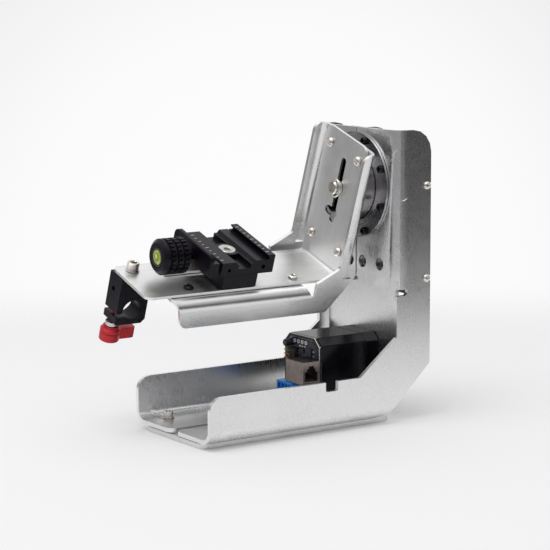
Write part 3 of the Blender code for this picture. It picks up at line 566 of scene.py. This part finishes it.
# Bubble level in the knob: a bezel, the green vial, its mark and the bubble
front = seat(CRADLE, (LEVEL_SEAT, 0.0, SPINDLE_Z), (-1, 0, 0))
bm = bmesh.new()
add_lathe(bm, front, [(0.0, 5.3), (0.0, 6.7), (2.7, 6.7), (3.2, 6.3), (3.2, 5.75), (2.7, 5.3)], 48)
piece("level_bezel", bm, [BLACK_MOULDING], "knob", ["bubble_level"])
bm = bmesh.new()
add_lathe(bm, front, [
    (0.0, 0), (0.0, 5.25), (2.6, 5.25), (2.95, 4.6), (3.15, 3.2), (3.25, 1.6), (3.3, 0)], 48)
piece("level_vial", bm, [VIAL], "knob")
bm = bmesh.new()
add_lathe(bm, front, [(3.05, 2.35), (3.05, 2.65), (3.32, 2.6), (3.36, 2.4)], 48)
piece("level_mark", bm, [BLACK_MOULDING], "knob")
bm = bmesh.new()
bubble_at = front @ Matrix.Translation((0.9, 0.5, 0.0))
add_lathe(bm, bubble_at, [(2.9, 0), (2.9, 1.7), (3.28, 1.6), (3.4, 1.0), (3.44, 0)], 32)
piece("level_bubble", bm, [BUBBLE], "knob")

# Rod clamp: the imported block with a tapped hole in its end, a grub screw in that, and a wider rod mouth
block = copied("rod_clamp_block", BLACK_SATIN, "cradle")
cuts = bmesh.new()
add_prism(cuts, CRADLE, circle(17.5, -74.5, 1.9, 24), "X", -102.0, -96.5)
add_prism(cuts, CRADLE, circle(ROD_X, ROD_Z, 9.0, 40), "Y", 20.5, 25.5)
carve(block, cuts)
ease_edges(block, 0.45, 3)
bm = bmesh.new()
add_lathe(bm, seat(CRADLE, (-97.0, 17.5, -74.5), (-1, 0, 0)), [
    (0.0, 0), (0.0, 1.85), (1.6, 1.85), (1.6, 1.1), (1.4, 0.9, "hex"), (0.6, 0.9, "hex"), (0.4, 0)])
piece("rod_clamp_grub_screw", bm, [BLACK_OXIDE], "cradle")

# Thumb screw: a ribbed red head with a lever, on a threaded stem
bm = bmesh.new()
stem = [(8.0 + 0.4 * k, 1.3 if k % 2 else 1.08) for k in range(40)]
add_lathe(bm, seat(CRADLE, (THUMB_X, ROD_BOLT_Y, -110.6), (0, 0, 1)), [
    (-3.4, 0), (-3.4, 6.1), (-3.0, 6.8), (-2.4, 7.2), (2.6, 7.2), (2.9, 6.7), (3.3, 6.7), (3.6, 7.2),
    (5.4, 7.2), (6.0, 6.6), (6.9, 5.7), (8.0, 5.5), (8.0, 1.3)] + stem[1:] + [(25.4, 1.0), (25.8, 0)], 60)
thumb = piece("thumb_screw_detail", bm, [RED], "thumb", ["thumb_screw"])
lever = bmesh.new()
add_prism(lever, CRADLE, [
    (-95.5, 13.7), (-81.9, 13.7), (-79.9, 14.6), (-79.9, 18.0), (-81.9, 18.9), (-95.5, 18.9)],
    "Z", -113.4, -105.0)
carve(thumb, lever, "UNION")
ease_edges(thumb, 0.3)


# Circuit board: status rings, chips and small parts
def on_board(bm, y0, y1, z0, z1, height):
    """A part that stands this high off the board's face."""
    add_prism(bm, FIXED, box(y0, y1, z0, z1), "X", BOARD_X - height, BOARD_X - 0.02)


for k in range(4):
    bm = bmesh.new()
    add_lathe(bm, seat(FIXED, (BOARD_X, 8.4 - 4.55 * k, 56.3), (-1, 0, 0)), [
        (0.0, 0.75), (0.0, 1.4), (0.35, 1.4), (0.35, 0.75)], 28)
    piece(f"status_ring_{k + 1}", bm, [WHITE_INK], "frame")
bm = bmesh.new()
on_board(bm, -12.5, -6.5, 47.0, 53.0, 1.1)
on_board(bm, 9.0, 15.5, 31.5, 38.0, 1.1)
on_board(bm, -3.0, 1.5, 48.5, 52.0, 0.9)
piece("board_chips", bm, [BLACK_MOULDING], "frame", edge=0.15)
bm = bmesh.new()
for y, z in ((-4.2, 53.4), (-1.4, 53.4), (1.6, 53.4), (3.2, 47.6), (3.2, 49.8), (-14.6, 48.0),
             (-14.6, 51.2), (9.5, 40.0)):
    on_board(bm, y - 0.8, y + 0.8, z - 0.4, z + 0.4, 0.45)
piece("board_small_parts", bm, [WASHED], "frame", edge=0.08)

# Pin header: a black base and gold pins with tapered tips
bm = bmesh.new()
for row in range(3):
    z = 44.2 + 2.9 * row
    add_prism(bm, FIXED, box(4.8, 14.6, z - 1.3, z + 1.3), "X", 25.4, 28.2)
piece("pin_header_base", bm, [BLACK_MOULDING], "frame", ["pin_header"], edge=0.15)
bm = bmesh.new()
for row in range(3):
    for column in range(3):
        y = 6.6 + 3.1 * column
        z = 44.2 + 2.9 * row
        shaft = seat(FIXED, (25.5, y, z), (-1, 0, 0)) @ Matrix.Rotation(math.pi / 4, 4, "Z")
        add_lathe(bm, shaft, [(0.0, 0), (0.0, 0.55), (3.3, 0.55), (3.8, 0.2), (3.8, 0)], 4)
piece("pin_header_pins", bm, [GOLD], "frame")

# Network jack: a black liner in the port with eight spring contacts
port = [(15.5, 32.4), (26.1, 32.4), (26.1, 39.0), (24.2, 39.0), (24.2, 41.2), (22.7, 41.2),
        (22.7, 43.0), (18.9, 43.0), (18.9, 41.2), (17.4, 41.2), (17.4, 39.0), (15.5, 39.0)]
bm = bmesh.new()
rings = []
for depth, scale in ((-22.3, 1.0), (-22.3, 0.93), (-8.2, 0.93), (-7.6, 1.0)):
    ring = [(20.8 + (x - 20.8) * scale, depth, 37.4 + (z - 37.4) * scale) for x, z in port]
    rings.append([bm.verts.new(FIXED @ Vector(point)) for point in ring])
for one, two in zip(rings, rings[1:] + rings[:1]):
    for k in range(len(port)):
        bm.faces.new([one[k - 1], one[k], two[k], two[k - 1]])
bm.faces.new(rings[2])
piece("jack_liner", bm, [BLACK_MOULDING], "frame")
bm = bmesh.new()
for k in range(8):
    x = 17.3 + k
    add_prism(bm, FIXED, [(-20.5, 33.0), (-20.5, 33.3), (-12.0, 37.6), (-11.8, 37.3)], "X",
              x - 0.22, x + 0.22)
piece("jack_contacts", bm, [GOLD], "frame")

# Terminal block: screw heads over the wire entries
bm = bmesh.new()
for y in (-7.7, -3.6, 0.6, 4.9):
    add_lathe(bm, seat(FIXED, (22.0, y, 29.9), (0, 0, 1)), [
        (0.0, 0), (0.0, 1.5), (0.25, 1.4), (0.3, 0)], 24)
piece("terminal_screws", bm, [BRIGHT], "frame")

# Belt drive inside the column
bm = bmesh.new()
add_lathe(bm, seat(FIXED, (86.6, 0.0, AXIS_Z), (1, 0, 0)), [
    (0.0, 9.3), (0.0, 36.6), (0.6, DRIVEN_RADIUS, "teeth"), (8.2, DRIVEN_RADIUS, "teeth"), (8.8, 36.6),
    (8.8, 34.0), (7.6, 33.0), (7.6, 14.0), (8.8, 13.0), (8.8, 9.3)], 160)
piece("driven_pulley_detail", bm, [TURNED], "cradle", ["driven_pulley"], sharp=30.0)
bm = bmesh.new()
add_lathe(bm, seat(FIXED, (85.6, 0.0, MOTOR_Z), (1, 0, 0)), [
    (0.0, 2.8), (0.0, 9.1), (0.3, 9.4), (1.5, 9.4), (1.8, DRIVER_RADIUS, "teeth"),
    (9.0, DRIVER_RADIUS, "teeth"), (9.3, 9.4), (9.9, 9.4), (10.2, 9.1), (10.2, 2.8)], 64)
piece("drive_pulley_detail", bm, [TURNED], "rotor", ["drive_pulley"], sharp=30.0)


def belt_line(gap):
    """Points round both pulleys at a distance from their rims, dense enough for the teeth."""
    top = DRIVEN_RADIUS + gap
    low = DRIVER_RADIUS + gap
    lean = math.degrees(math.asin(30.55 / PULLEY_GAP))
    upper = arc(0.0, AXIS_Z, top, -lean, 180.0 + lean, 94)
    lower = arc(0.0, MOTOR_Z, low, 180.0 + lean, 360.0 - lean, 16)
    line = upper
    for start, end in ((upper[-1], lower[0]), (lower[-1], upper[0])):
        run = [tuple(s + (e - s) * k / 82.0 for s, e in zip(start, end)) for k in range(1, 82)]
        line = line + run if start == upper[-1] else line + lower + run
    return line


outer = belt_line(2.0)
between = zip(belt_line(1.2), belt_line(0.5))
inner = [shallow if k % 2 else deep for k, (shallow, deep) in enumerate(between)]
bm = bmesh.new()
loops = []
for x in (88.0, 94.0):
    loops.append([bm.verts.new(FIXED @ Vector((x, y, z))) for y, z in outer])
    loops.append([bm.verts.new(FIXED @ Vector((x, y, z))) for y, z in inner])
for one, two in ((loops[0], loops[1]), (loops[1], loops[3]), (loops[3], loops[2]), (loops[2], loops[0])):
    for k in range(len(outer)):
        bm.faces.new([one[k - 1], one[k], two[k], two[k - 1]])
piece("timing_belt_detail", bm, [RUBBER], "frame", ["timing_belt"], sharp=30.0)


# Floor: pale, fading into the surroundings well outside the object
def stage_floor():
    mesh = bpy.data.meshes.new("floor")
    bm = bmesh.new()
    bmesh.ops.create_circle(bm, cap_ends=True, radius=3.0, segments=96)
    bm.to_mesh(mesh)
    bm.free()
    floor = bpy.data.objects.new("floor", mesh)
    floor.location = (0.0, 0.0, -0.0002)
    bpy.context.scene.collection.objects.link(floor)
    mat = bpy.data.materials.new("pale_floor")
    mat.use_nodes = True
    tree = mat.node_tree
    tree.nodes.clear()
    out = tree.nodes.new("ShaderNodeOutputMaterial")
    paint = add(tree, "ShaderNodeBsdfDiffuse", Color=(FLOOR_GREY, FLOOR_GREY, FLOOR_GREY, 1.0))
    lift = add(tree, "ShaderNodeEmission", Color=(1.0, 1.0, 1.0, 1.0), Strength=FLOOR_LIFT)
    path = tree.nodes.new("ShaderNodeLightPath")
    seen = add(tree, "ShaderNodeMath", operation="MAXIMUM")
    tree.links.new(path.outputs["Is Camera Ray"], seen.inputs[0])
    tree.links.new(path.outputs["Is Glossy Ray"], seen.inputs[1])
    both = tree.nodes.new("ShaderNodeAddShader")
    tree.links.new(paint.outputs["BSDF"], both.inputs[0])
    tree.links.new(lift.outputs["Emission"], both.inputs[1])
    shown = tree.nodes.new("ShaderNodeMixShader")
    tree.links.new(seen.outputs["Value"], shown.inputs["Fac"])
    tree.links.new(paint.outputs["BSDF"], shown.inputs[1])
    tree.links.new(both.outputs["Shader"], shown.inputs[2])
    place = tree.nodes.new("ShaderNodeTexCoord")
    far = add(tree, "ShaderNodeVectorMath", operation="LENGTH")
    tree.links.new(place.outputs["Object"], far.inputs[0])
    fade = add(tree, "ShaderNodeMapRange", interpolation_type="SMOOTHERSTEP", From_Min=FLOOR_FADE[0],
               From_Max=FLOOR_FADE[1], To_Min=0.0, To_Max=1.0)
    tree.links.new(far.outputs["Value"], fade.inputs["Value"])
    clear = tree.nodes.new("ShaderNodeBsdfTransparent")
    mixed = tree.nodes.new("ShaderNodeMixShader")
    tree.links.new(fade.outputs["Result"], mixed.inputs["Fac"])
    tree.links.new(shown.outputs["Shader"], mixed.inputs[1])
    tree.links.new(clear.outputs["BSDF"], mixed.inputs[2])
    tree.links.new(mixed.outputs["Shader"], out.inputs["Surface"])
    mesh.materials.append(mat)


def stage_world():
    """A studio as the metal sees it: white behind the object and overhead, dim in front to the right."""
    world = bpy.data.worlds.new("studio")
    bpy.context.scene.world = world
    world.use_nodes = True
    tree = world.node_tree
    tree.nodes.clear()
    out = tree.nodes.new("ShaderNodeOutputWorld")
    back = add(tree, "ShaderNodeBackground", Color=(1.0, 1.0, 1.0, 1.0))
    tree.links.new(back.outputs["Background"], out.inputs["Surface"])
    place = tree.nodes.new("ShaderNodeTexCoord")
    level = None
    for toward, start, full, strength in STUDIO_LOBES:
        facing = add(tree, "ShaderNodeVectorMath", operation="DOT_PRODUCT")
        facing.inputs[1].default_value = toward
        tree.links.new(place.outputs["Generated"], facing.inputs[0])
        lobe = add(tree, "ShaderNodeMapRange", interpolation_type="SMOOTHSTEP", From_Min=start,
                   From_Max=full)
        tree.links.new(facing.outputs["Value"], lobe.inputs["Value"])
        mixed = add(tree, "ShaderNodeMix", data_type="FLOAT", A=STUDIO_LEVEL, B=strength)
        tree.links.new(lobe.outputs["Result"], mixed.inputs["Factor"])
        if level:
            tree.links.new(level.outputs["Result"], mixed.inputs["A"])
        level = mixed
    parts = tree.nodes.new("ShaderNodeSeparateXYZ")
    tree.links.new(place.outputs["Generated"], parts.inputs["Vector"])
    above = add(tree, "ShaderNodeMapRange", interpolation_type="SMOOTHSTEP", From_Min=0.10, From_Max=0.75,
                To_Min=0.0, To_Max=1.0)
    tree.links.new(parts.outputs["Z"], above.inputs["Value"])
    whole = add(tree, "ShaderNodeMix", data_type="FLOAT", B=OVERHEAD_LEVEL)
    tree.links.new(above.outputs["Result"], whole.inputs["Factor"])
    tree.links.new(level.outputs["Result"], whole.inputs["A"])
    tree.links.new(whole.outputs["Result"], back.inputs["Strength"])


def area_light(name, place, target, size, energy):
    data = bpy.data.lights.new(name, "AREA")
    data.shape = "SQUARE"
    data.size = size
    data.energy = energy
    lamp = bpy.data.objects.new(name, data)
    lamp.location = place
    lamp.rotation_euler = (Vector(target) - Vector(place)).to_track_quat("-Z", "Y").to_euler()
    bpy.context.scene.collection.objects.link(lamp)


stage_floor()
stage_world()
area_light("key_softbox", SOFTBOX_AT, SOFTBOX_TARGET, SOFTBOX_SIZE, SOFTBOX_WATTS)

# Camera at the photograph's angle
lens = bpy.data.cameras.new("camera")
lens.lens = LENS
lens.sensor_width = SENSOR
lens.clip_start = 0.05
lens.clip_end = 10.0
camera = bpy.data.objects.new("camera", lens)
camera.location = CAMERA_AT
camera.rotation_euler = [math.radians(value) for value in CAMERA_TURN]
bpy.context.scene.collection.objects.link(camera)
bpy.context.scene.camera = camera
bpy.context.scene.view_settings.view_transform = "Standard"
